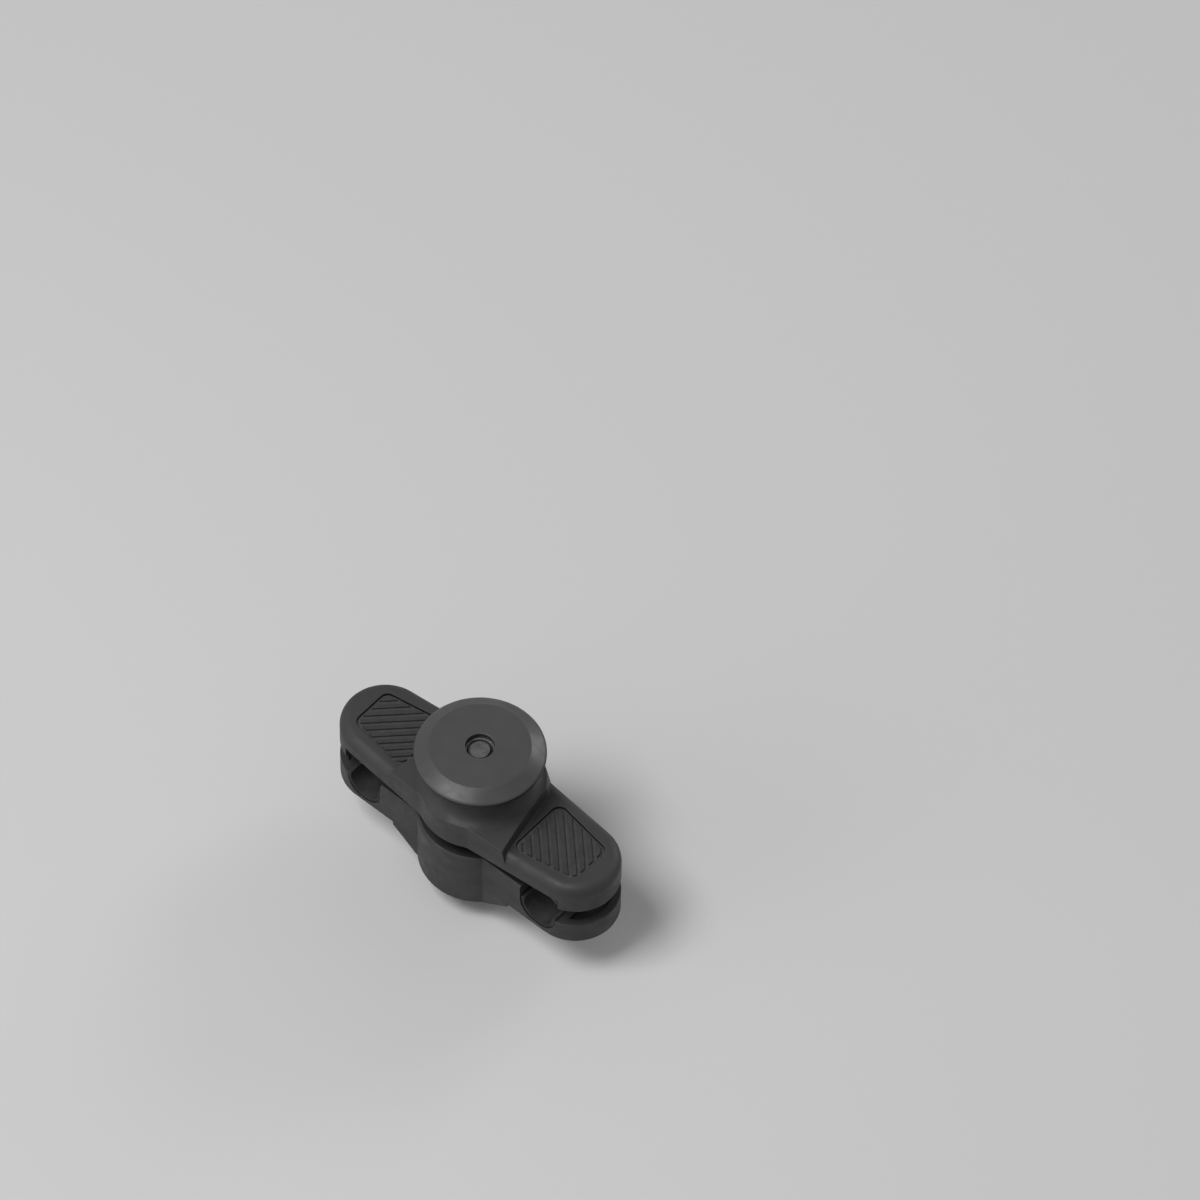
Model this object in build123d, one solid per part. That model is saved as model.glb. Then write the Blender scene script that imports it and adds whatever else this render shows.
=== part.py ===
from build123d import *
import os
from math import asin, atan, cos, degrees, radians, sin, tan

# A clamp that grips the two round rails under a bicycle saddle. Millimetres, +X to the rider's right,
# +Y forward, +Z up. The origin is on the screw's axis, at the underside of the boss.

# The rails that the clamp is made for
rail_d = 7.0
rail_spacing = 44.0

# Plan of the two jaws: a round hub, with wings that taper on the upper jaw and run straight on the lower
hub_d = 24.0
waist_d = 22.0
end_d = 17.4
end_reach = 2.1

# Heights of the lower jaw
boss_drop = 5.0
channel_web = 1.5
inner_wall_rise = 3.7
outer_lip_rise = 0.2
outer_lip_w = 1.5
outer_recess = 1.2
keel_w = 17.0
keel_run = 6.0

# Heights of the upper jaw
jaw_gap = 3.8
wing_t = 3.9
shoulder_rise = 2.2
neck_h = 6.8
neck_d = 18.4
flare_h = 4.6
flare_reach = 0.4
flare_lift = 0.2
flare_sag_x = 0.75
flare_sag_z = 1.75
shoulder_fall = 2.0
end_skirt_drop = 2.7
end_skirt_t = 2.4

# Raised block round the neck: its sides lean in, and spread by this much for each millimetre to the rear
block_w = 25.2
block_spread = 0.18
block_front_d = 27.4
block_draft = 12.0

# Travel of the lower jaw and the square guide that keeps it straight
jaw_travel = 5.6
guide_w = 13.0
guide_corner_r = 2.5
guide_overlap = 0.9
guide_end_gap = 0.5

# Disc on top
cap_d = 25.3
cap_face_d = 19.5
cap_t = 3.2
cap_bevel_d = 24.5
cap_bevel_drop = 1.5
cap_brow_drop = 0.35
cap_rim_t = 0.4
cap_under_d = 22.8
cap_hole_d = 5.7
cap_washer_t = 0.6
cap_washer_d = 17.0
cap_key_af = 11.0
cap_key_h = 5.6

# Threaded insert moulded into the disc
insert_d = 7.2
insert_flange_d = 9.2
insert_flange_t = 1.5
insert_cover = 1.3
insert_groove_w = 1.4
insert_groove_depth = 0.5

# Screw with a low head, and its washer
screw_d = 5.0
screw_length = 30.0
screw_tip_recess = 1.1
screw_tip_chamfer = 0.6
head_d = 8.5
head_h = 3.5
head_edge = 0.4
key_af = 4.0
key_depth = 2.0
washer_d = 9.5
washer_t = 0.8

# Rail shoes under the wings and liners in the lower jaw
liner_wall = 0.8
liner_rise = 0.6
liner_length = 16.8
shoe_length = 12.8
shoe_w = 9.2
shoe_nose_w = 6.4
shoe_nose_rise = 2.2
shoe_seat_depth = 1.0
shoe_peg_d = 3.0
shoe_peg_h = 1.1

# Ribbed inlays in the wings
pad_inner_gap = 1.6
pad_end_margin = 5.1
pad_side_margin = 4.3
pad_corner_r = 1.8
pad_base_t = 1.0
pad_sink = 0.1
pad_groove = 0.3
pad_border = 0.25
rib_pitch = 1.64
rib_w = 0.85
rib_h = 0.45
rib_angle = 45.0

# Edges
wing_edge_r = 2.2
jaw_edge = 0.9
small_edge = 0.4
boss_edge = 0.6
hub_blend_r = 3.0

# Clearances
guide_clearance = 0.3
shank_clearance = 0.25
thread_clearance = 0.05
head_clearance = 0.9
seat_clearance = 0.05
key_clearance = 0.1
outer_clearance = 1.3

# Places worked out from the sizes above
rail_r = rail_d / 2
rail_x = rail_spacing / 2
end_x = rail_x + end_reach
channel_r = rail_r + liner_wall
floor_z = boss_drop
rail_z = floor_z + channel_web + channel_r
inner_wall_z = rail_z + inner_wall_rise
outer_lip_z = rail_z + outer_lip_rise
upper_z = inner_wall_z + jaw_gap
wing_z = upper_z + wing_t
shoulder_z = wing_z + shoulder_rise
neck_z = shoulder_z + neck_h
cap_z = neck_z + cap_washer_t
cap_face_z = cap_z + cap_t
screw_tip_z = cap_face_z - screw_tip_recess
head_z = screw_tip_z - screw_length
boss_seat_z = head_z + washer_t
guide_z = inner_wall_z - jaw_travel - guide_overlap
pocket_z = guide_z - guide_end_gap
cap_key_z = neck_z - cap_key_h
end_skirt_z = upper_z - end_skirt_drop
end_skirt_x = rail_x + rail_r + outer_clearance
pad_inner_x = block_w / 2 + pad_inner_gap
pad_outer_x = end_x + end_d / 2 - pad_end_margin
pad_inner_w = waist_d - 2 * pad_side_margin
pad_outer_w = end_d - 2 * pad_side_margin


def tapered_plan(middle_d, outer_d, x):
    """Outline from above: straight sides tangent to a middle circle and to a smaller one at each end."""
    middle_r = middle_d / 2
    end_r = outer_d / 2
    lean = asin((middle_r - end_r) / x)
    near = (middle_r * sin(lean), middle_r * cos(lean))
    far = (x + end_r * sin(lean), end_r * cos(lean))
    quarter = [Line(near, far)]
    quarter_mirrored = [Line((-near[0], near[1]), (-far[0], far[1]))]
    lower = [Line((near[0], -near[1]), (far[0], -far[1]))]
    lower_mirrored = [Line((-near[0], -near[1]), (-far[0], -far[1]))]
    crowns = [
        ThreePointArc((-near[0], near[1]), (0, middle_r), near),
        ThreePointArc((-near[0], -near[1]), (0, -middle_r), (near[0], -near[1])),
        ThreePointArc(far, (x + end_r, 0), (far[0], -far[1])),
        ThreePointArc((-far[0], far[1]), (-x - end_r, 0), (-far[0], -far[1])),
    ]
    return make_face(quarter + quarter_mirrored + lower + lower_mirrored + crowns)


def winged_plan():
    """Outline of the upper jaw from above: the tapered bar with the round hub blended into its sides."""
    plan = tapered_plan(waist_d, end_d, end_x) + Circle(hub_d / 2)
    corners = [v for v in plan.vertices() if abs(v.X) < hub_d / 2]
    return fillet(corners, hub_blend_r)


def slab(face, low, high):
    """Straight wall of a flat outline between two heights."""
    return extrude(Pos(0, 0, low) * face, high - low, dir=(0, 0, 1))


def rod(diameter, low, high):
    """Upright cylinder on the screw's axis."""
    return slab(Circle(diameter / 2), low, high)


def along_rail(section, length):
    """A section drawn in X and Z, drawn out along the rails and centred on the screw's axis."""
    return extrude(Plane.XZ * section, length / 2, both=True)


def beyond(x, low, high):
    """Everything outside the plane at x on both sides, between two heights."""
    size = 2 * end_x
    both_sides = Pos(x + size / 2, 0) * Rectangle(size, size) + Pos(-x - size / 2, 0) * Rectangle(size, size)
    return slab(both_sides, low, high)


def pad_outline(grow):
    """Outline of the right-hand inlay, made larger by grow."""
    corners = [
        (pad_inner_x - grow, pad_inner_w / 2 + grow),
        (pad_outer_x + grow, pad_outer_w / 2 + grow),
        (pad_outer_x + grow, -pad_outer_w / 2 - grow),
        (pad_inner_x - grow, -pad_inner_w / 2 - grow),
    ]
    outline = make_face(Polyline(*corners, close=True))
    return fillet(outline.vertices(), pad_corner_r)


def on_both_sides(solid):
    """A right-hand feature together with its mirror image."""
    return solid + mirror(solid, Plane.YZ)


def make_grip_pad():
    """Soft inlay: a thin plate with slanting ribs that stand up from it."""
    base_z = wing_z - pad_sink - rib_h
    plate = slab(pad_outline(0), base_z - pad_base_t, base_z)
    field = slab(pad_outline(-pad_border), base_z, base_z + rib_h)
    middle_x = (pad_inner_x + pad_outer_x) / 2
    reach = pad_outer_x - pad_inner_x + pad_inner_w
    count = int(reach / rib_pitch / 2)
    bars = Sketch()
    for step in range(-count, count + 1):
        bars += Pos(0, step * rib_pitch) * Rectangle(2 * reach, rib_w)
    ribs = slab(Pos(middle_x, 0) * Rot(0, 0, -rib_angle) * bars, base_z, base_z + rib_h)
    return plate + (field & ribs)


def make_rail_shoe():
    """Shoe that bears on the top of the rail: a broad head under the wing and a narrow hollowed nose."""
    head_low = inner_wall_z + small_edge
    head_high = upper_z + shoe_seat_depth
    nose_low = rail_z + shoe_nose_rise
    head = Pos(0, (head_low + head_high) / 2) * Rectangle(shoe_w, head_high - head_low)
    nose = Pos(0, (nose_low + head_low) / 2) * Rectangle(shoe_nose_w, head_low - nose_low)
    section = head + nose - Pos(0, rail_z) * Circle(rail_r)
    block = Pos(rail_x, 0, 0) * along_rail(section, shoe_length)
    block = fillet(block.edges().filter_by(Axis.Z), small_edge)
    peg = Pos(rail_x, 0, 0) * rod(shoe_peg_d, head_high, head_high + shoe_peg_h)
    return block + peg


def make_rail_liner():
    """Thin lining of the rail channel: half a tube with short straight legs."""
    top = rail_z + liner_rise
    outer = Pos(0, rail_z) * Circle(channel_r - seat_clearance)
    outer_legs = Pos(0, top - liner_rise / 2) * Rectangle(2 * (channel_r - seat_clearance), liner_rise)
    inner = Pos(0, rail_z) * Circle(rail_r)
    inner_legs = Pos(0, top) * Rectangle(rail_d, 2 * liner_rise)
    above = Pos(0, top + channel_r) * Rectangle(4 * channel_r, 2 * channel_r)
    section = outer + outer_legs - inner - inner_legs - above
    return Pos(rail_x, 0, 0) * along_rail(section, liner_length)


def make_block(plan):
    """Raised block round the neck, cut back at the front so that it stays under the disc."""
    low = wing_z - wing_edge_r
    rise = neck_z - low
    lean = tan(radians(block_draft))
    rear_w = block_w + 2 * block_spread * hub_d + 2 * lean * wing_edge_r
    side_angle = 90 - degrees(atan(block_spread))
    sides = extrude(Pos(0, 0, low) * Trapezoid(rear_w, 2 * hub_d, side_angle), rise, taper=block_draft)
    front = extrude(Pos(0, 0, low) * Circle(block_front_d / 2), rise, taper=block_draft)
    rear = slab(Pos(0, -hub_d) * Rectangle(4 * hub_d, 2 * hub_d), low, neck_z)
    return sides & (front + rear) & slab(plan, low, neck_z)


def make_upper_jaw():
    """Winged bar with a flared hub, the seats of shoes and inlays, and the square guide below."""
    plan = winged_plan()
    wings = slab(plan, upper_z, wing_z)
    wings = fillet(wings.edges().group_by(Axis.Z)[-1], wing_edge_r)
    inner_plan = tapered_plan(waist_d - 2 * end_skirt_t, end_d - 2 * end_skirt_t, end_x)
    skirt = slab(plan - inner_plan, end_skirt_z, upper_z) & beyond(end_skirt_x, end_skirt_z, upper_z)
    hub = rod(hub_d, upper_z, neck_z) + make_block(plan)
    neck_r = neck_d / 2
    far_r = hub_d
    flare_low = (hub_d / 2 + flare_reach, shoulder_z + flare_lift)
    flare_mid = (neck_r + flare_sag_x, shoulder_z + flare_sag_z)
    flare_high = (neck_r, shoulder_z + flare_h)
    flare = make_face(
        [
            Line((neck_r, cap_z), flare_high),
            Spline(flare_high, flare_mid, flare_low, tangents=[(0, -1), (1, -flare_lift)]),
            Line(flare_low, (far_r, shoulder_z - shoulder_fall)),
            Line((far_r, shoulder_z - shoulder_fall), (far_r, cap_z)),
            Line((far_r, cap_z), (neck_r, cap_z)),
        ]
    )
    hub -= revolve(Plane.XZ * flare, Axis.Z)
    guide = slab(RectangleRounded(guide_w, guide_w, guide_corner_r), guide_z, upper_z)
    jaw = wings + skirt + hub + guide
    jaw -= slab(RegularPolygon(cap_key_af / 2, 6, major_radius=False), cap_key_z, neck_z)
    jaw -= rod(screw_d + 2 * shank_clearance, guide_z, neck_z)
    pad_floor = wing_z - pad_sink - rib_h - pad_base_t
    jaw -= on_both_sides(slab(pad_outline(pad_groove), pad_floor, wing_z))
    seat = slab(
        Pos(rail_x, 0) * Rectangle(shoe_w + 2 * seat_clearance, shoe_length + 2 * seat_clearance),
        upper_z,
        upper_z + shoe_seat_depth,
    )
    peg_top = upper_z + shoe_seat_depth + shoe_peg_h
    peg_hole = Pos(rail_x, 0, 0) * rod(shoe_peg_d + 2 * seat_clearance, upper_z, peg_top)
    jaw -= on_both_sides(seat + peg_hole)
    return jaw


def make_keel():
    """Thickening under the lower jaw that slopes from the boss up to the channels."""
    flat = keel_w / 2
    wide = flat + keel_run
    top = floor_z + jaw_edge
    corners = [(-flat, boss_edge), (flat, boss_edge), (wide, floor_z), (wide, top), (-wide, top), (-wide, floor_z)]
    return along_rail(make_face(Polyline(*corners, close=True)), end_d)


def make_lower_jaw():
    """Straight bar with a channel for each rail, a pocket for the guide and a round boss below."""
    bar = slab(SlotCenterToCenter(2 * end_x, end_d), floor_z, inner_wall_z)
    bar -= beyond(rail_x, outer_lip_z, inner_wall_z)
    bar = chamfer(bar.edges().group_by(Axis.Z)[0], jaw_edge)
    bar = chamfer(bar.edges().group_by(Axis.Z)[-1], small_edge)
    recess_z = outer_lip_z - outer_recess
    recess = slab(SlotCenterToCenter(2 * end_x, end_d - 2 * outer_lip_w), recess_z, outer_lip_z)
    recess &= beyond(rail_x + channel_r + outer_lip_w, recess_z, outer_lip_z)
    channel = Pos(0, rail_z) * Circle(channel_r)
    channel += Pos(0, rail_z + channel_r) * Rectangle(2 * channel_r, 2 * channel_r)
    boss = rod(hub_d, 0, inner_wall_z)
    boss = chamfer(boss.edges().group_by(Axis.Z)[0], boss_edge)
    boss = chamfer(boss.edges().group_by(Axis.Z)[-1], small_edge)
    jaw = bar + make_keel() + boss - recess
    jaw -= on_both_sides(Pos(rail_x, 0, 0) * along_rail(channel, 2 * hub_d))
    pocket_w = guide_w + 2 * guide_clearance
    jaw -= slab(RectangleRounded(pocket_w, pocket_w, guide_corner_r + guide_clearance), pocket_z, inner_wall_z)
    jaw -= rod(screw_d + 2 * shank_clearance, boss_seat_z, pocket_z)
    jaw -= rod(head_d + 2 * head_clearance, 0, boss_seat_z)
    return jaw


def insert_body():
    """Turned outside of the insert: a flange on top of a grooved barrel."""
    top = cap_face_z - insert_cover
    barrel = rod(insert_d, cap_key_z, top)
    flange = rod(insert_flange_d, top - insert_flange_t, top)
    middle = (cap_key_z + top - insert_flange_t) / 2
    half = insert_groove_w / 2
    ring = rod(insert_flange_d, middle - half, middle + half)
    ring -= rod(insert_d - 2 * insert_groove_depth, middle - half, middle + half)
    return barrel + flange - ring


def make_cap_insert():
    """Plated insert with its tapped hole, drawn at the outside diameter of the thread."""
    return insert_body() - rod(screw_d + 2 * thread_clearance, cap_key_z, cap_face_z)


def make_cap_disc():
    """Bevelled and undercut disc with a six-sided key below that stops it turning in the neck."""
    bevel_z = cap_face_z - cap_bevel_drop
    rim_high = bevel_z - cap_brow_drop
    half = [
        (0, cap_z),
        (cap_under_d / 2, cap_z),
        (cap_d / 2, rim_high - cap_rim_t),
        (cap_d / 2, rim_high),
        (cap_bevel_d / 2, bevel_z),
        (cap_face_d / 2, cap_face_z),
        (0, cap_face_z),
    ]
    disc = revolve(Plane.XZ * make_face(Polyline(*half, close=True)), Axis.Z)
    key = RegularPolygon(cap_key_af / 2 - key_clearance, 6, major_radius=False)
    disc += slab(key, cap_key_z + key_clearance, cap_z)
    disc -= rod(cap_hole_d, cap_key_z, cap_face_z)
    return disc - insert_body()


def make_cap_washer():
    """Thin washer between the neck and the disc."""
    hole = RegularPolygon(cap_key_af / 2 + key_clearance, 6, major_radius=False)
    return slab(Circle(cap_washer_d / 2) - hole, neck_z, cap_z)


def make_clamp_screw():
    """Screw with a low round head and a six-sided socket, entered from below."""
    head = rod(head_d, head_z - head_h, head_z)
    head = chamfer(head.edges().group_by(Axis.Z)[0], head_edge)
    shank = rod(screw_d, head_z, screw_tip_z)
    shank = chamfer(shank.edges().group_by(Axis.Z)[-1], screw_tip_chamfer)
    socket = slab(RegularPolygon(key_af / 2, 6, major_radius=False), head_z - head_h, head_z - head_h + key_depth)
    return head + shank - socket


def make_screw_washer():
    """Flat washer between the head and the boss."""
    return rod(washer_d, head_z, boss_seat_z) - rod(screw_d + 2 * shank_clearance, head_z, boss_seat_z)


grip_pad = make_grip_pad()
rail_shoe = make_rail_shoe()
rail_liner = make_rail_liner()

nodes = {
    "upper_jaw": make_upper_jaw(),
    "lower_jaw": make_lower_jaw(),
    "cap_disc": make_cap_disc(),
    "cap_insert": make_cap_insert(),
    "cap_washer": make_cap_washer(),
    "clamp_screw": make_clamp_screw(),
    "screw_washer": make_screw_washer(),
    "grip_pad_right": grip_pad,
    "grip_pad_left": mirror(grip_pad, Plane.YZ),
    "rail_shoe_right": rail_shoe,
    "rail_shoe_left": mirror(rail_shoe, Plane.YZ),
    "rail_liner_right": rail_liner,
    "rail_liner_left": mirror(rail_liner, Plane.YZ),
}

os.makedirs("parts", exist_ok=True)
for name, solid in nodes.items():
    export_step(solid, f"parts/{name}.step")
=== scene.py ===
import bmesh
import bpy
import math
from mathutils import Matrix, Vector


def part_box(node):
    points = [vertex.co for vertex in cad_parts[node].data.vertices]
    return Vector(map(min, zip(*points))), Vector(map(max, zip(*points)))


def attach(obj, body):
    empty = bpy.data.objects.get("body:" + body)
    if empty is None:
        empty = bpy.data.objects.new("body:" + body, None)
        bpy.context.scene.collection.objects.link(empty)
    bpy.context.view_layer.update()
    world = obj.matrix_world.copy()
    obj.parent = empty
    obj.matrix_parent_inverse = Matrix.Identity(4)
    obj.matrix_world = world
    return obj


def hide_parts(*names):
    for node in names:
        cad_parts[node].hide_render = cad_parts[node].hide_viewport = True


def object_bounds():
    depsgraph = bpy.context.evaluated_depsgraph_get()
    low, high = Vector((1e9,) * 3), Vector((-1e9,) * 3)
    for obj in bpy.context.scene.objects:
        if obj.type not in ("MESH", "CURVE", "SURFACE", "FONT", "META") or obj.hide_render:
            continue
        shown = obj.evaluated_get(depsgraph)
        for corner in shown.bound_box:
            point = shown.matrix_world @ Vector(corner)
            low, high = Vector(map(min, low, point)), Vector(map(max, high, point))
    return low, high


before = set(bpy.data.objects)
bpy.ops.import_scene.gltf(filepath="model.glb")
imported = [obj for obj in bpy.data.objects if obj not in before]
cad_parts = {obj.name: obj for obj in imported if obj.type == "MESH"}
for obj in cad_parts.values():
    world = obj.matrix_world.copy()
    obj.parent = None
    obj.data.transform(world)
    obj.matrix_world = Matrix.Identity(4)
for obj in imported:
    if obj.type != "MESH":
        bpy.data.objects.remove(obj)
cad_low, cad_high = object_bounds()


# Lower jaw
# The plate under the rails is black glass-filled nylon, moulded in one piece with its round boss. The
# mould leaves a fine grain on it, with slow streaks where the plastic flowed, and handling polishes
# its edges to a paler grey.

mm = 0.001


def new_finish(name):
    """An empty material and its surface shader."""
    finish = bpy.data.materials.new(name)
    finish.use_nodes = True
    return finish, finish.node_tree.nodes["Principled BSDF"]


def add(finish, kind, **settings):
    """One more step in a material, with its settings and the values of its sockets."""
    step = finish.node_tree.nodes.new(kind)
    for key, value in settings.items():
        if hasattr(step, key):
            setattr(step, key, value)
        else:
            step.inputs[key.replace("_", " ")].default_value = value
    return step


def join(finish, source, target):
    """Leads one socket into another."""
    finish.node_tree.links.new(source, target)


def on_object(finish):
    """Places in the material by the piece's own millimetres."""
    place = add(finish, "ShaderNodeTexCoord")
    in_mm = add(finish, "ShaderNodeVectorMath", operation="SCALE", Scale=1 / mm)
    join(finish, place.outputs["Object"], in_mm.inputs[0])
    return in_mm.outputs["Vector"]


def cloud(finish, place, size_mm, detail, stretch=(1, 1, 1)):
    """Soft random patches of about the given size, from 0 to 1."""
    spread = add(finish, "ShaderNodeMapping", Scale=stretch)
    noise = add(finish, "ShaderNodeTexNoise", Scale=1 / size_mm, Detail=detail)
    join(finish, place, spread.inputs["Vector"])
    join(finish, spread.outputs["Vector"], noise.inputs["Vector"])
    return noise.outputs["Fac"]


def ramp(finish, source, low, high, from_low=0.35, from_high=0.65):
    """A value moved from one range to another and held at its ends."""
    step = add(
        finish,
        "ShaderNodeMapRange",
        clamp=True,
        From_Min=from_low,
        From_Max=from_high,
        To_Min=low,
        To_Max=high,
    )
    join(finish, source, step.inputs["Value"])
    return step.outputs["Result"]


def two_tones(finish, share, first, second):
    """A colour between two others."""
    mix = add(finish, "ShaderNodeMix", data_type="RGBA")
    mix.inputs["A"].default_value = (*first, 1)
    mix.inputs["B"].default_value = (*second, 1)
    join(finish, share, mix.inputs["Factor"])
    return mix.outputs["Result"]


def tinted(finish, share, body, tint):
    """A colour of the material that turns into a fixed one."""
    mix = add(finish, "ShaderNodeMix", data_type="RGBA")
    mix.inputs["B"].default_value = (*tint, 1)
    join(finish, share, mix.inputs["Factor"])
    join(finish, body, mix.inputs["A"])
    return mix.outputs["Result"]


def product(finish, first, second):
    """Two values multiplied."""
    step = add(finish, "ShaderNodeMath", operation="MULTIPLY")
    join(finish, first, step.inputs[0])
    join(finish, second, step.inputs[1])
    return step.outputs["Value"]


def dimmed(finish, body, share):
    """A colour of the material, darker by a share."""
    step = add(finish, "ShaderNodeVectorMath", operation="SCALE")
    join(finish, body, step.inputs[0])
    join(finish, share, step.inputs["Scale"])
    return step.outputs["Vector"]


def rough_skin(finish, height, normal, depth_mm, strength=1.0):
    """A surface direction with a fine relief laid over another."""
    relief = add(finish, "ShaderNodeBump", Strength=strength, Distance=depth_mm * mm)
    join(finish, height, relief.inputs["Height"])
    join(finish, normal, relief.inputs["Normal"])
    return relief.outputs["Normal"]


def soft_edges(finish, radius_mm):
    """A surface direction that runs softly round each edge."""
    return add(finish, "ShaderNodeBevel", samples=6, Radius=radius_mm * mm).outputs["Normal"]


def near_outer_edge(finish, soft_normal, radius_mm):
    """How near an outer edge is, from 0 to 1."""
    flat = add(finish, "ShaderNodeNewGeometry")
    turn = add(finish, "ShaderNodeVectorMath", operation="DOT_PRODUCT")
    join(finish, soft_normal, turn.inputs[0])
    join(finish, flat.outputs["Normal"], turn.inputs[1])
    near = ramp(finish, turn.outputs["Value"], low=1.0, high=0.0, from_low=0.80, from_high=0.995)
    openness = add(finish, "ShaderNodeAmbientOcclusion", samples=4, Distance=2 * radius_mm * mm)
    outer = ramp(finish, openness.outputs["AO"], low=0.0, high=1.0, from_low=0.45, from_high=0.75)
    return product(finish, near, outer)


def painted_corner_shade(finish, body, reach_mm, darkest):
    """The colour again, with painted shade: dimmed in corners and under overhangs, where less light
    reaches.
    """
    openness = add(finish, "ShaderNodeAmbientOcclusion", samples=8, Distance=reach_mm * mm)
    unshaded_share = ramp(finish, openness.outputs["AO"], low=darkest, high=1.0, from_low=0.30, from_high=0.95)
    return dimmed(finish, body, unshaded_share)


def moulded(name, deep, pale, worn, roughness, grain_mm, grain_depth_mm, edge_mm=0.25):
    """Moulded plastic: slow colour streaks, painted shade in corners, fine grain, uneven gloss and paler
    edges.
    """
    finish, shader = new_finish(name)
    place = on_object(finish)
    flow = cloud(finish, place, size_mm=9.0, detail=3.0, stretch=(0.35, 1, 1.6))
    body = two_tones(finish, ramp(finish, flow, low=0.0, high=1.0), deep, pale)
    # Painted shade: the colour is dimmed in corners and under overhangs, such as the neck under the disc.
    body = painted_corner_shade(finish, body, reach_mm=6.0, darkest=0.25)
    soft_normal = soft_edges(finish, edge_mm)
    rubbing = cloud(finish, place, size_mm=1.3, detail=4.0)
    patches = ramp(finish, rubbing, low=0.15, high=0.75, from_low=0.4, from_high=0.7)
    rubbed = product(finish, near_outer_edge(finish, soft_normal, edge_mm), patches)
    join(finish, tinted(finish, rubbed, body, worn), shader.inputs["Base Color"])
    uneven = 0.08
    polish = cloud(finish, place, size_mm=3.0, detail=5.0)
    gloss = ramp(finish, polish, low=roughness - uneven, high=roughness + uneven)
    join(finish, gloss, shader.inputs["Roughness"])
    shader.inputs["Specular IOR Level"].default_value = 0.32
    grain = cloud(finish, place, size_mm=grain_mm, detail=3.0)
    join(finish, rough_skin(finish, grain, soft_normal, grain_depth_mm), shader.inputs["Normal"])
    return finish


def dress(node, finish):
    """Puts one material on a whole piece."""
    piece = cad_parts[node]
    if not piece.material_slots:
        piece.data.materials.append(finish)
    for slot in piece.material_slots:
        slot.material = finish


nylon = moulded(
    "black_nylon",
    deep=(0.026, 0.026, 0.027),
    pale=(0.036, 0.036, 0.037),
    worn=(0.078, 0.078, 0.079),
    roughness=0.56,
    grain_mm=0.16,
    grain_depth_mm=0.012,
)
dress("lower_jaw", nylon)


# Rail liners
# Two thin half tubes of soft black rubber, pressed into the channels of the lower jaw so that the
# rails neither slip nor get scratched. They are extruded and cut to length.

def soft_rubber(name, deep, pale, roughness, tooth_mm):
    """Matt rubber: dusty patches over a dark body, with a dull sheen and a fine tooth."""
    finish, shader = new_finish(name)
    place = on_object(finish)
    dust = cloud(finish, place, size_mm=2.4, detail=5.0)
    body = two_tones(finish, ramp(finish, dust, low=0.0, high=1.0), deep, pale)
    join(finish, body, shader.inputs["Base Color"])
    wiped = 0.05
    bloomed = 0.07
    polish = cloud(finish, place, size_mm=0.9, detail=3.0)
    gloss = ramp(finish, polish, low=roughness - wiped, high=roughness + bloomed)
    join(finish, gloss, shader.inputs["Roughness"])
    shader.inputs["Specular IOR Level"].default_value = 0.3
    tooth = cloud(finish, place, size_mm=tooth_mm, detail=2.0)
    skin = rough_skin(finish, tooth, soft_edges(finish, radius_mm=0.15), depth_mm=0.01, strength=0.8)
    join(finish, skin, shader.inputs["Normal"])
    return finish


liner_rubber = soft_rubber(
    "liner_rubber",
    deep=(0.018, 0.018, 0.019),
    pale=(0.030, 0.030, 0.031),
    roughness=0.8,
    tooth_mm=0.2,
)
dress("rail_liner_right", liner_rubber)
dress("rail_liner_left", liner_rubber)


# Upper jaw
# The winged bar above the rails, of the same black nylon. Its top carries the flared neck and the two
# framed seats for the ribbed inlays, and its square guide reaches down into the lower jaw.

dress("upper_jaw", nylon)


# Rail shoes
# Hard black plastic blocks pegged under the wings. Each bears on the top of a rail with its hollowed
# nose, which is rubbed a little paler.

shoe_plastic = moulded(
    "shoe_plastic",
    deep=(0.022, 0.022, 0.023),
    pale=(0.030, 0.030, 0.031),
    worn=(0.060, 0.060, 0.060),
    roughness=0.48,
    grain_mm=0.2,
    grain_depth_mm=0.006,
)
dress("rail_shoe_right", shoe_plastic)
dress("rail_shoe_left", shoe_plastic)


# Grip inlays
# Dark rubber plates with slanting ribs, moulded into the framed seats of the wings. A thumb presses
# here while the screw is tightened, so the crests are wiped clean and a little dust lies between them.

inlay_low, inlay_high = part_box("grip_pad_right")
rib_depth_mm = 0.45
wiped_depth_mm = 0.045
inlay_inner_half = 0.0067
inlay_outer_half = 0.0044
inlay_corner_r = 0.0018
lip_w = 0.00026
lip_sunk = 0.0005
lip_t = 0.0008
corner_steps = 10


def ribbed_rubber(name, deep, pale, dusty, roughness):
    """Rubber that grows paler down in the grooves between its ribs."""
    finish = soft_rubber(name, deep, pale, roughness, tooth_mm=0.18)
    shader = finish.node_tree.nodes["Principled BSDF"]
    body = shader.inputs["Base Color"].links[0].from_socket
    place = on_object(finish)
    split = add(finish, "ShaderNodeSeparateXYZ")
    join(finish, place, split.inputs["Vector"])
    groove_mm = inlay_high.z / mm - rib_depth_mm
    wiped_mm = inlay_high.z / mm - wiped_depth_mm
    sunk = ramp(finish, split.outputs["Z"], low=1.0, high=0.0, from_low=groove_mm, from_high=wiped_mm)
    settled = ramp(finish, cloud(finish, place, size_mm=1.6, detail=4.0), low=0.6, high=1.0)
    dust = tinted(finish, product(finish, sunk, settled), body, dusty)
    join(finish, dust, shader.inputs["Base Color"])
    return finish


inlay_rubber = ribbed_rubber(
    "inlay_rubber",
    deep=(0.026, 0.026, 0.027),
    pale=(0.034, 0.034, 0.035),
    dusty=(0.062, 0.062, 0.063),
    roughness=0.72,
)
dress("grip_pad_right", inlay_rubber)
dress("grip_pad_left", inlay_rubber)


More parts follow.
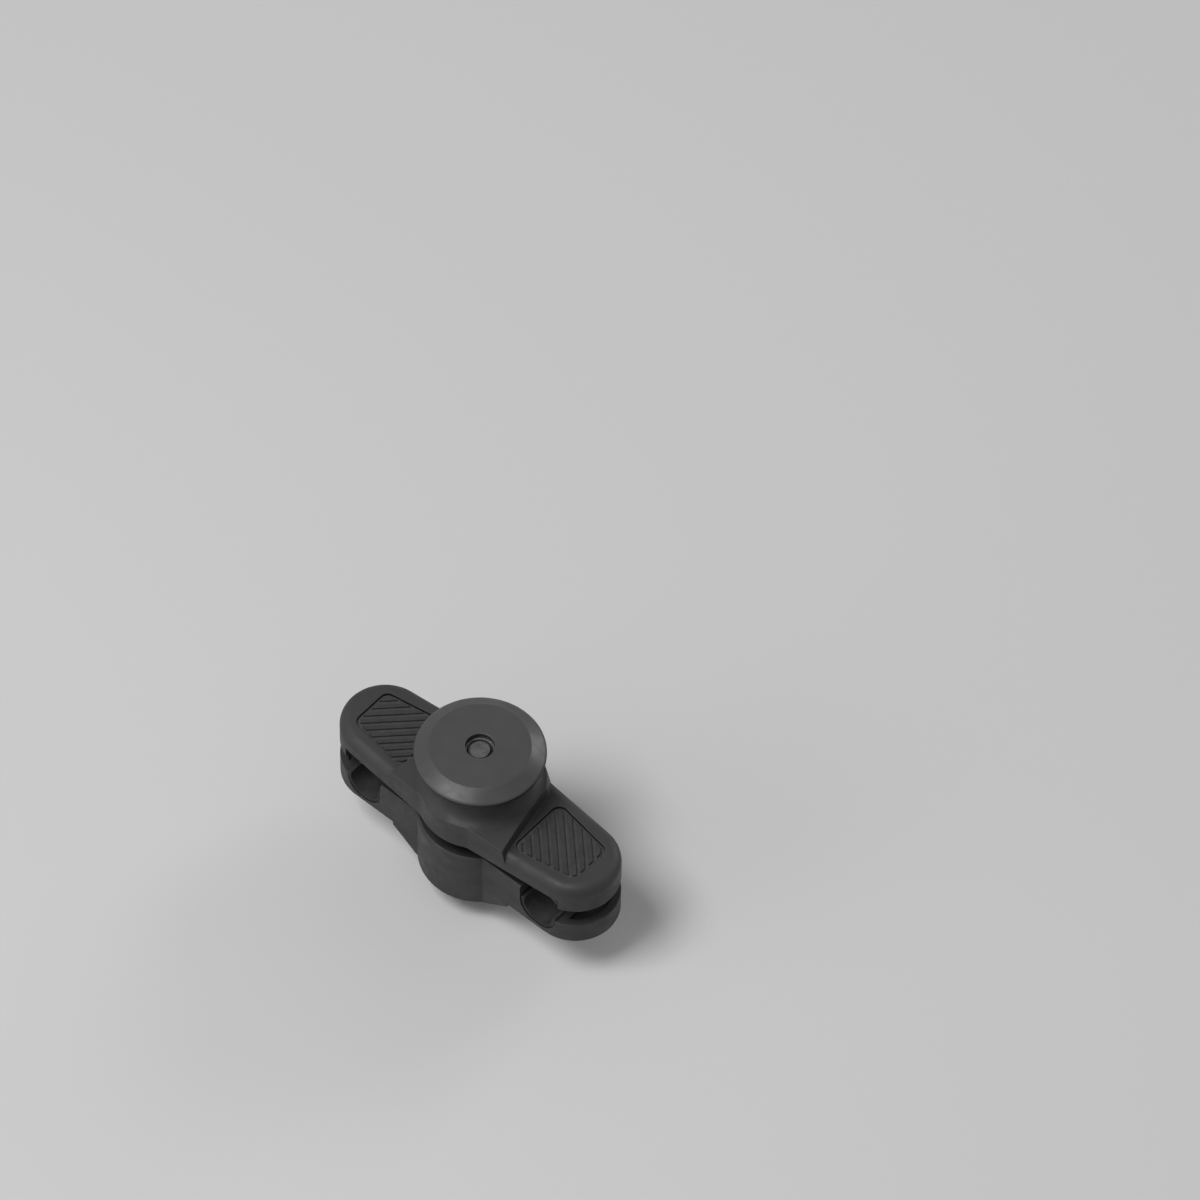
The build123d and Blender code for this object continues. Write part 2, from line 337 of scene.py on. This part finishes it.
def inlay_outline(grow):
    """Points round the right-hand inlay, with round corners, made larger by grow."""
    inner = inlay_low.x - grow
    outer = inlay_high.x + grow
    tall = inlay_inner_half + grow
    short = inlay_outer_half + grow
    corners = [Vector(place) for place in ((inner, -tall), (outer, -short), (outer, short), (inner, tall))]
    points = []
    for place, corner in enumerate(corners):
        before = (corners[place - 1] - corner).normalized()
        after = (corners[(place + 1) % len(corners)] - corner).normalized()
        half_angle = before.angle(after) / 2
        centre = corner + (before + after).normalized() * inlay_corner_r / math.sin(half_angle)
        first = corner + before * inlay_corner_r / math.tan(half_angle) - centre
        sweep = math.pi - 2 * half_angle
        for step in range(corner_steps + 1):
            turn = Matrix.Rotation(sweep * step / corner_steps, 2)
            points.append(centre + turn @ first)
    return points


def new_piece(name, skin):
    """An object made of a finished skin."""
    bmesh.ops.recalc_face_normals(skin, faces=skin.faces)
    mesh = bpy.data.meshes.new(name)
    skin.to_mesh(mesh)
    skin.free()
    piece = bpy.data.objects.new(name, mesh)
    bpy.context.scene.collection.objects.link(piece)
    return piece


def inlay_lip(name, side):
    """The thin edge of the inlay that lies in the groove round it, as one closed frame."""
    high = inlay_high.z - lip_sunk
    skin = bmesh.new()
    loops = []
    for grow, height in ((0, high - lip_t), (0, high), (lip_w, high), (lip_w, high - lip_t)):
        loops.append([skin.verts.new((side * point.x, point.y, height)) for point in inlay_outline(grow)])
    for loop, beyond in zip(loops, loops[1:] + loops[:1]):
        for step in range(len(loop)):
            after = (step + 1) % len(loop)
            skin.faces.new((loop[step], loop[after], beyond[after], beyond[step]))
    lip = new_piece(name, skin)
    lip.data.materials.append(inlay_rubber)
    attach(lip, "upper")


inlay_lip("inlay_lip_right", side=1)
inlay_lip("inlay_lip_left", side=-1)


# Disc and its washer
# The bevelled disc is satin black plastic. Its face is turned flat, so faint rings run round it, and
# its bevel is smoother and catches the light. A thin rubber washer lies under it.

rim_height_mm = 1.75
rim_blend_mm = 0.15


def turned_disc(name, deep, pale, worn, roughness):
    """Satin plastic with faint rings round the upright axis, and a rim with less sheen and painted shade.
    """
    finish = moulded(name, deep, pale, worn, roughness, grain_mm=0.12, grain_depth_mm=0.006, edge_mm=0.3)
    shader = finish.node_tree.nodes["Principled BSDF"]
    grained = shader.inputs["Normal"].links[0].from_socket
    body = shader.inputs["Base Color"].links[0].from_socket
    split = add(finish, "ShaderNodeSeparateXYZ")
    join(finish, on_object(finish), split.inputs["Vector"])
    flat_place = add(finish, "ShaderNodeCombineXYZ")
    join(finish, split.outputs["X"], flat_place.inputs["X"])
    join(finish, split.outputs["Y"], flat_place.inputs["Y"])
    rings = add(finish, "ShaderNodeTexWave", wave_type="RINGS", rings_direction="SPHERICAL")
    rings.inputs["Scale"].default_value = 2.2
    rings.inputs["Distortion"].default_value = 0.6
    join(finish, flat_place.outputs["Vector"], rings.inputs["Vector"])
    turned = rough_skin(finish, rings.outputs["Fac"], grained, depth_mm=0.002, strength=0.5)
    join(finish, turned, shader.inputs["Normal"])
    rim_mm = cad_high.z / mm - rim_height_mm
    under_mm = rim_mm - rim_blend_mm
    over_mm = rim_mm + rim_blend_mm
    # Painted shade: below the bevel the colour of the rim is dimmed to a quarter.
    painted_rim_shade = ramp(finish, split.outputs["Z"], low=0.25, high=1.0, from_low=under_mm, from_high=over_mm)
    join(finish, dimmed(finish, body, painted_rim_shade), shader.inputs["Base Color"])
    sheen = ramp(finish, split.outputs["Z"], low=0.12, high=0.40, from_low=under_mm, from_high=over_mm)
    join(finish, sheen, shader.inputs["Specular IOR Level"])
    return finish


satin = turned_disc(
    "satin_black",
    deep=(0.045, 0.045, 0.046),
    pale=(0.052, 0.052, 0.053),
    worn=(0.09, 0.09, 0.09),
    roughness=0.40,
)
dress("cap_disc", satin)
dress("cap_washer", liner_rubber)


# Threaded insert
# A nickel-plated brass bush moulded into the disc. Its top shows as a thin dull ring round the end of
# the screw, and the rest of it is buried.

def metal(name, deep, pale, roughness, scratch_mm, bare):
    """Plated metal: cloudy tone, fine scratches and uneven polish, under a coat unless it is bare."""
    finish, shader = new_finish(name)
    place = on_object(finish)
    tone = cloud(finish, place, size_mm=1.8, detail=4.0)
    body = two_tones(finish, ramp(finish, tone, low=0.0, high=1.0), deep, pale)
    join(finish, body, shader.inputs["Base Color"])
    shader.inputs["Metallic"].default_value = bare
    polished = 0.08
    tarnished = 0.10
    polish = cloud(finish, place, size_mm=0.6, detail=4.0)
    gloss = ramp(finish, polish, low=roughness - polished, high=roughness + tarnished)
    join(finish, gloss, shader.inputs["Roughness"])
    scratches = cloud(finish, place, size_mm=scratch_mm, detail=2.0, stretch=(1, 1, 8))
    skin = rough_skin(finish, scratches, soft_edges(finish, radius_mm=0.12), depth_mm=0.004, strength=0.5)
    join(finish, skin, shader.inputs["Normal"])
    return finish


nickel = metal(
    "nickel_plate",
    deep=(0.14, 0.14, 0.14),
    pale=(0.22, 0.22, 0.217),
    roughness=0.45,
    scratch_mm=0.12,
    bare=0.7,
)
dress("cap_insert", nickel)


# Clamp screw and its washer
# A low-head M5 screw of blackened steel with a rolled thread and a six-sided socket. It enters from
# below through a plain washer, and its chamfered end shows in the hole of the disc.

points_round = 48
sharp_edge_deg = 28
screw_r = 0.0025
tip_r = 0.0019
thread_pitch = 0.0008
thread_depth = 0.00043
thread_length = 0.022
rings_per_turn = 8
run_out_turns = 2
flank_slope = 2.6
root_flat = 0.15
head_r = 0.00425
head_height = 0.0035
head_edge = 0.0004
head_edge_bulge = 0.3
socket_across_flats = 0.004
socket_depth = 0.002
socket_mouth_r = 0.00245
drill_cone = 0.0007


def turned_ring(skin, height, radius_at):
    """One ring of points round the screw's axis; the radius may change with the angle."""
    ring = []
    for step in range(points_round):
        angle = 2 * math.pi * step / points_round
        radius = radius_at(angle)
        ring.append(skin.verts.new((radius * math.cos(angle), radius * math.sin(angle), height)))
    return ring


def plain(radius):
    """A round ring."""
    return lambda angle: radius


def six_sided(angle):
    """The wall of the socket."""
    sixth = math.pi / 3
    return socket_across_flats / 2 / math.cos(angle % sixth - sixth / 2)


def thread(height, thread_low):
    """A ring through the thread, which winds up as it climbs and fades in above its lower end."""
    fade = min(1, (height - thread_low) / (run_out_turns * thread_pitch))

    def radius(angle):
        turn = (height / thread_pitch - angle / (2 * math.pi)) % 1
        flank = min(1, max(0, flank_slope * abs(turn - 0.5) - root_flat))
        return screw_r - fade * thread_depth * (1 - flank)

    return radius


def screw_profile(low, high):
    """Heights and rings of the screw, from the floor of its socket round its head to its end."""
    head_top = low + head_height
    bulge = head_edge_bulge * head_edge
    profile = [
        (low + socket_depth, six_sided),
        (low + socket_mouth_r - socket_across_flats / 2, six_sided),
        (low, plain(socket_mouth_r)),
        (low, plain(head_r - head_edge)),
        (low + bulge, plain(head_r - bulge)),
        (low + head_edge, plain(head_r)),
        (head_top - head_edge / 2, plain(head_r)),
        (head_top, plain(head_r - head_edge / 2)),
        (head_top, plain(screw_r)),
    ]
    thread_low = high - thread_length
    thread_high = high - (screw_r - tip_r)
    ring_gap = thread_pitch / rings_per_turn
    for step in range(int((thread_high - thread_low) / ring_gap) + 1):
        height = thread_low + step * ring_gap
        profile.append((height, thread(height, thread_low)))
    profile.append((high, plain(tip_r)))
    return profile


def threaded_screw(name):
    """The whole screw as one closed skin."""
    low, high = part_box("clamp_screw")
    skin = bmesh.new()
    rings = [turned_ring(skin, height, radius_at) for height, radius_at in screw_profile(low.z, high.z)]
    for inner, outer in zip(rings, rings[1:]):
        for step in range(points_round):
            after = (step + 1) % points_round
            skin.faces.new((inner[step], inner[after], outer[after], outer[step]))
    socket_middle = skin.verts.new((0, 0, low.z + socket_depth + drill_cone))
    for step in range(points_round):
        skin.faces.new((rings[0][(step + 1) % points_round], rings[0][step], socket_middle))
    skin.faces.new(rings[-1])
    piece = new_piece(name, skin)
    for face in piece.data.polygons:
        face.use_smooth = True
    piece.data.set_sharp_from_angle(angle=math.radians(sharp_edge_deg))
    return piece


blackened = metal(
    "blackened_steel",
    deep=(0.075, 0.075, 0.077),
    pale=(0.13, 0.13, 0.132),
    roughness=0.42,
    scratch_mm=0.15,
    bare=0.35,
)
screw = threaded_screw("clamp_screw_threaded")
screw.data.materials.append(blackened)
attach(screw, "screw")
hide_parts("clamp_screw")
dress("clamp_screw", blackened)
dress("screw_washer", blackened)


# Studio
# A pale floor, as low as the open jaw reaches, that runs on to a sky of its own tone. A soft lamp hangs
# high above the rear, a broad one stands low beside it for the walls, and a third lights the bevel from
# the front.

sky_tone = 0.80
sky_strength = 0.34
floor_tone = (0.58, 0.58, 0.585)
floor_half_width = 2.5
floor_z = -0.0056

floor_mesh = bpy.data.meshes.new("floor")
floor_corners = []
for across, along in ((-1, -1), (1, -1), (1, 1), (-1, 1)):
    floor_corners.append((across * floor_half_width, along * floor_half_width, floor_z))
floor_mesh.from_pydata(floor_corners, [], [(0, 1, 2, 3)])
floor = bpy.data.objects.new("floor", floor_mesh)
bpy.context.scene.collection.objects.link(floor)
floor_paint, floor_shader = new_finish("floor_paint")
floor_shader.inputs["Base Color"].default_value = (*floor_tone, 1)
floor_shader.inputs["Roughness"].default_value = 0.9
floor_shader.inputs["Specular IOR Level"].default_value = 0.1
floor_mesh.materials.append(floor_paint)

world = bpy.data.worlds.new("sky")
bpy.context.scene.world = world
world.use_nodes = True
sky = world.node_tree.nodes["Background"]
sky.inputs["Color"].default_value = (sky_tone, sky_tone, sky_tone, 1)
sky.inputs["Strength"].default_value = sky_strength
seen_sky = add(world, "ShaderNodeBackground", Color=(*floor_tone, 1))
ray = add(world, "ShaderNodeLightPath")
seen_or_mirrored = add(world, "ShaderNodeMath", operation="MAXIMUM")
join(world, ray.outputs["Is Camera Ray"], seen_or_mirrored.inputs[0])
join(world, ray.outputs["Is Glossy Ray"], seen_or_mirrored.inputs[1])
seen_at_all = add(world, "ShaderNodeMath", operation="MAXIMUM")
join(world, seen_or_mirrored.outputs["Value"], seen_at_all.inputs[0])
join(world, ray.outputs["Is Transmission Ray"], seen_at_all.inputs[1])
pick = add(world, "ShaderNodeMixShader")
join(world, seen_at_all.outputs["Value"], pick.inputs["Fac"])
join(world, sky.outputs["Background"], pick.inputs[1])
join(world, seen_sky.outputs["Background"], pick.inputs[2])
join(world, pick.outputs["Shader"], world.node_tree.nodes["World Output"].inputs["Surface"])


def soft_lamp(name, direction, distance, width, power):
    """A square lamp that faces the object from a direction."""
    lamp = bpy.data.lights.new(name, "AREA")
    lamp.shape = "SQUARE"
    lamp.size = width
    lamp.energy = power
    holder = bpy.data.objects.new(name, lamp)
    bpy.context.scene.collection.objects.link(holder)
    away = Vector(direction).normalized()
    holder.location = away * distance
    holder.rotation_mode = "QUATERNION"
    holder.rotation_quaternion = away.to_track_quat("Z", "Y")
    holder.visible_camera = False


soft_lamp("key_lamp", direction=(-0.15, -0.40, 0.90), distance=1.2, width=0.45, power=9.5)
soft_lamp("side_lamp", direction=(-0.45, -0.85, 0.25), distance=1.2, width=0.9, power=3.9)
soft_lamp("bevel_lamp", direction=(0.15, 0.90, 0.40), distance=1.2, width=0.5, power=3.0)


# Camera
# It looks down on the clamp from its right rear through a long lens, far enough away that parallel
# edges stay parallel, with the disc left of the middle and below it.

view_azimuth = math.radians(41.36)
view_elevation = math.radians(54.5)
lens_mm = 300.0
sensor_mm = 36.0
sight_limit = 10.0
frame_width = 0.2264
frame_offset_right = 0.02264
frame_offset_up = 0.02755

level = math.cos(view_elevation)
disc_face = Vector((0, 0, cad_high.z))
right = Vector((math.cos(view_azimuth), math.sin(view_azimuth), 0))
back = Vector((math.sin(view_azimuth) * level, -math.cos(view_azimuth) * level, math.sin(view_elevation)))
up = back.cross(right)
middle = disc_face + right * frame_offset_right + up * frame_offset_up
camera_data = bpy.data.cameras.new("camera")
camera_data.lens = lens_mm
camera_data.sensor_width = sensor_mm
camera_data.clip_end = sight_limit
camera = bpy.data.objects.new("camera", camera_data)
bpy.context.scene.collection.objects.link(camera)
camera.location = disc_face + back * frame_width * lens_mm / sensor_mm
look = (camera.location - middle).normalized()
side = up.cross(look).normalized()
turn = Matrix((side, look.cross(side), look)).transposed()
camera.matrix_world = Matrix.Translation(camera.location) @ turn.to_4x4()
bpy.context.scene.camera = camera
bpy.context.scene.view_settings.view_transform = "Standard"
